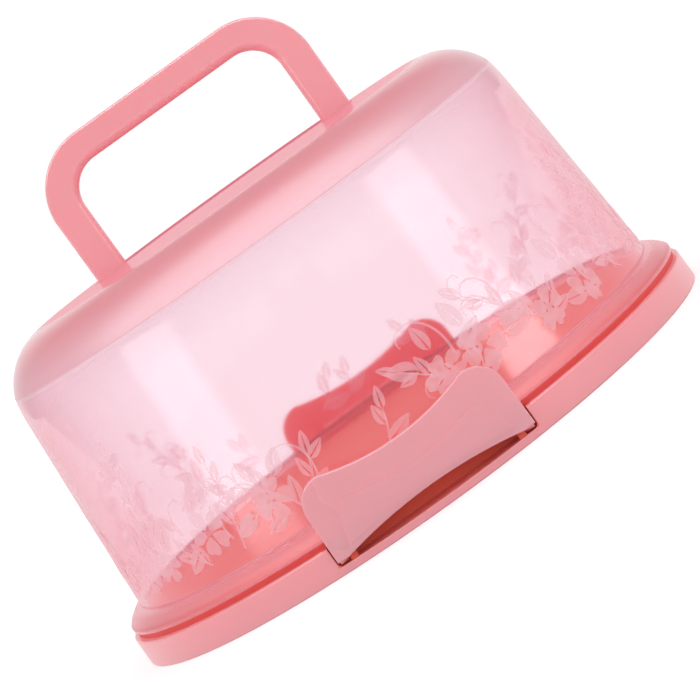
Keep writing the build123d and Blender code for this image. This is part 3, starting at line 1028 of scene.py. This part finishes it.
class CARRIER_OT_opaque_parts(bpy.types.Operator):
    """Finish the tray, both latches and the handle in solid pink plastic, with shade painted in the
    tray's hollows and on the latches' inner faces
    """

    bl_idname = "carrier.opaque_parts"
    bl_label = "Finish Tray, Latches and Handle"

    def execute(self, context):
        settings = context.scene.carrier_opaque
        # Deep reds painted as shade on the deck, the ring under the flange and inside the notches
        zones = (
            (settings.deck_shade_red, deck_shade_share),
            (settings.ring_shade_red, ring_shade_share),
            (settings.notch_shade_red, notch_shade_share),
        )
        soft = settings.roughness
        tray = moulded_pink("tray_plastic", settings.tray_pink, soft, settings, zones)
        dress("base_tray", tray)
        # Deeper reds painted as shade on the latches' inner faces and toes
        zones = ((settings.latch_shade_red, inner_shade_share), (settings.toe_shade_red, toe_shade_share))
        latch = moulded_pink("latch_plastic", settings.latch_pink, soft, settings, zones)
        dress("front_latch", latch)
        dress("rear_latch", latch)
        soft = settings.handle_roughness
        dress("handle", moulded_pink("handle_plastic", settings.handle_pink, soft, settings))
        return {"FINISHED"}


class CARRIER_OT_lid(bpy.types.Operator):
    """Finish the lid in clear tinted plastic"""

    bl_idname = "carrier.lid"
    bl_label = "Finish Lid"

    def execute(self, context):
        dress("lid_dome", clear_pink(context.scene.carrier_lid))
        return {"FINISHED"}


class CARRIER_OT_print(bpy.types.Operator):
    """Print vine sprays, tendrils and blossoms round the lid's wall"""

    bl_idname = "carrier.floral_print"
    bl_label = "Print Lid"

    def execute(self, context):
        settings = context.scene.carrier_print
        piece = bpy.data.objects.new("floral_print", draw_print(settings))
        context.scene.collection.objects.link(piece)
        piece.data.materials.append(print_ink(settings))
        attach(piece, "lid")
        return {"FINISHED"}


class CARRIER_OT_studio(bpy.types.Operator):
    """Set up the floor, the even light, two softboxes and the camera"""

    bl_idname = "carrier.studio"
    bl_label = "Set Up Studio"

    def execute(self, context):
        settings = context.scene.carrier_studio
        context.scene.view_settings.view_transform = "Standard"
        self.light_world(context.scene, settings)
        self.lay_floor(context.scene)
        for side in (-1, 1):
            self.hang_softbox(context.scene, settings, side)
        self.place_camera(context.scene, settings)
        return {"FINISHED"}

    def light_world(self, scene, settings):
        """Even light all round; the eye and the clear parts see it as white, and gloss sees
        a white wall behind the carrier, a bright panel high in front and a dimmer room."""
        scene.world = bpy.data.worlds.new("even_white")
        scene.world.use_nodes = True
        graph = Graph(scene.world.node_tree)
        ray = graph.add("ShaderNodeLightPath").outputs
        way = graph.add("ShaderNodeTexCoord").outputs["Generated"]
        way = graph.add("ShaderNodeSeparateXYZ", inputs={"Vector": way}).outputs
        room = graph.ramp(way["Y"], *REAR_WALL, settings.gloss_light, 1.0)
        panel = graph.math(
            "MULTIPLY",
            graph.ramp(way["Z"], *PANEL_FOOT, 0.0, settings.panel_light),
            graph.ramp(way["Y"], *PANEL_FRONT),
        )
        room = graph.math("ADD", room, panel)
        seen = graph.math("MAXIMUM", ray["Is Camera Ray"], ray["Is Transmission Ray"])
        other = graph.math("SUBTRACT", 1.0, ray["Is Glossy Ray"])
        plain = graph.math(
            "ADD",
            graph.math("MULTIPLY", other, settings.daylight),
            graph.math("MULTIPLY", ray["Is Glossy Ray"], room),
        )
        up_to_white = graph.math("MULTIPLY", seen, graph.math("SUBTRACT", 1.0, plain))
        strength = graph.math("ADD", plain, up_to_white)
        light = graph.add("ShaderNodeBackground", inputs={"Color": WHITE, "Strength": strength})
        graph.add("ShaderNodeOutputWorld", inputs={"Surface": light.outputs[0]})

    def lay_floor(self, scene):
        """Wide pale floor that keeps the carrier's shadow."""
        mesh = bpy.data.meshes.new("studio_floor")
        signs = ((-1, -1), (1, -1), (1, 1), (-1, 1))
        corners = [(x * FLOOR_HALF, y * FLOOR_HALF, 0) for x, y in signs]
        mesh.from_pydata(corners, [], [(0, 1, 2, 3)])
        floor = bpy.data.objects.new("studio_floor", mesh)
        scene.collection.objects.link(floor)
        material, graph = new_material("pale_floor")
        ray = graph.add("ShaderNodeLightPath").outputs
        seen = graph.math("MAXIMUM", ray["Is Camera Ray"], ray["Is Glossy Ray"])
        seen = graph.math("MAXIMUM", seen, ray["Is Transmission Ray"])
        fill = graph.math("MULTIPLY", seen, FLOOR_FILL)
        place = graph.add("ShaderNodeTexCoord").outputs["Object"]
        mottle = graph.add("ShaderNodeTexNoise", inputs={"Vector": place, "Scale": FLOOR_MOTTLE})
        tone = graph.ramp(mottle.outputs["Fac"], 0.0, 1.0, *FLOOR_TONE, smooth=False)
        matt = graph.add("ShaderNodeBsdfDiffuse", inputs={"Color": tone})
        bright = graph.add("ShaderNodeEmission", inputs={"Strength": fill})
        surface = graph.add("ShaderNodeAddShader")
        graph.tree.links.new(matt.outputs[0], surface.inputs[0])
        graph.tree.links.new(bright.outputs[0], surface.inputs[1])
        graph.add("ShaderNodeOutputMaterial", inputs={"Surface": surface.outputs[0]})
        floor.data.materials.append(material)
        floor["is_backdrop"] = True

    def hang_softbox(self, scene, settings, side):
        """Softbox at one side of the camera, aimed at the carrier; its foot is its brightest
        part, and the left one is dimmer at the very bottom."""
        light = bpy.data.lights.new("softbox", "AREA")
        light.shape = "RECTANGLE"
        light.size, light.size_y = SOFTBOX_SIZE
        light.energy = settings.softbox_power
        light.use_nodes = True
        graph = Graph(light.node_tree)
        place = graph.add("ShaderNodeNewGeometry").outputs["Parametric"]
        across, up, _ = graph.add("ShaderNodeSeparateXYZ", inputs={"Vector": place}).outputs
        side_fade, end_fade = SOFTBOX_FADES
        glow = graph.math(
            "MULTIPLY",
            self.faded(graph, across, side_fade),
            self.faded(graph, up, end_fade),
        )
        foot = graph.ramp(up, *SOFTBOX_FOOT, SOFTBOX_UPPER, 1.0)
        glow = graph.math("MULTIPLY", glow, foot)
        if side < 0:
            glow = graph.math("MULTIPLY", glow, graph.ramp(up, *LEFT_FOOT, LEFT_DIM, 1.0))
        glow = graph.add("ShaderNodeEmission", inputs={"Strength": glow})
        graph.add("ShaderNodeOutputLight", inputs={"Surface": glow.outputs[0]})
        lamp = bpy.data.objects.new("softbox", light)
        scene.collection.objects.link(lamp)
        azimuth = SOFTBOX_AZIMUTH * side
        towards = Vector((
            math.sin(azimuth) * math.cos(SOFTBOX_ELEVATION),
            -math.cos(azimuth) * math.cos(SOFTBOX_ELEVATION),
            math.sin(SOFTBOX_ELEVATION),
        ))
        lamp.location = Vector((0.0, 0.0, SOFTBOX_AIM)) + towards * SOFTBOX_DISTANCE
        lamp.rotation_euler = towards.to_track_quat("Z", "Y").to_euler()

    def faded(self, graph, share, margin):
        """1 in a softbox's middle, soft towards both edges."""
        inward = graph.math("MINIMUM", share, graph.math("SUBTRACT", 1.0, share))
        return graph.ramp(inward, 0.0, margin)

    def place_camera(self, scene, settings):
        """Camera in front and slightly above, rolled so that the carrier leans to the left."""
        side = settings.camera_side
        turn = settings.camera_turn + side
        pitch = settings.camera_pitch
        roll = settings.camera_roll
        ahead = Vector((
            math.sin(turn) * math.cos(pitch), math.cos(turn) * math.cos(pitch), -math.sin(pitch)
        ))
        right = Vector((math.cos(turn), -math.sin(turn), 0.0))
        over = right.cross(ahead)
        top = over * math.cos(roll) + right * math.sin(roll)
        across = right * math.cos(roll) - over * math.sin(roll)
        data = bpy.data.cameras.new("camera")
        data.sensor_width = SENSOR_WIDTH
        data.lens = settings.lens
        data.clip_end = VIEW_DEPTH
        camera = bpy.data.objects.new("camera", data)
        scene.collection.objects.link(camera)
        turned = Matrix((across, top, -ahead)).transposed().to_4x4()
        spot = Vector((
            -math.sin(side) * settings.camera_distance,
            -math.cos(side) * settings.camera_distance,
            settings.camera_height,
        ))
        camera.matrix_world = Matrix.Translation(spot) @ turned
        scene.camera = camera


class CARRIER_PT_panel(bpy.types.Panel):
    """Steps that dress the carrier"""

    bl_idname = "CARRIER_PT_panel"
    bl_label = "Cake Carrier"
    bl_space_type = "VIEW_3D"
    bl_region_type = "UI"
    bl_category = "Cake Carrier"

    def draw(self, context):
        for group, operator in (
            ("carrier_opaque", CARRIER_OT_opaque_parts),
            ("carrier_lid", CARRIER_OT_lid),
            ("carrier_print", CARRIER_OT_print),
            ("carrier_studio", CARRIER_OT_studio),
        ):
            box = self.layout.box()
            settings = getattr(context.scene, group)
            for name in type(settings).__annotations__:
                box.prop(settings, name)
            box.operator(operator.bl_idname)


SETTINGS = {
    "carrier_opaque": CARRIER_PG_opaque,
    "carrier_lid": CARRIER_PG_lid,
    "carrier_print": CARRIER_PG_print,
    "carrier_studio": CARRIER_PG_studio,
}
OPERATORS = (
    CARRIER_OT_opaque_parts,
    CARRIER_OT_lid,
    CARRIER_OT_print,
    CARRIER_OT_studio,
)


def register():
    for name, group in SETTINGS.items():
        bpy.utils.register_class(group)
        setattr(bpy.types.Scene, name, PointerProperty(type=group))
    for operator in OPERATORS:
        bpy.utils.register_class(operator)
    bpy.utils.register_class(CARRIER_PT_panel)


def unregister():
    bpy.utils.unregister_class(CARRIER_PT_panel)
    for operator in reversed(OPERATORS):
        bpy.utils.unregister_class(operator)
    for name, group in SETTINGS.items():
        delattr(bpy.types.Scene, name)
        bpy.utils.unregister_class(group)


def main():
    register()
    bpy.ops.carrier.opaque_parts()
    bpy.ops.carrier.lid()
    bpy.ops.carrier.floral_print()
    bpy.ops.carrier.studio()
    plain = [[list(corner) for corner in box] for box in (START_BOX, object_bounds())]


if __name__ == "__main__":
    main()
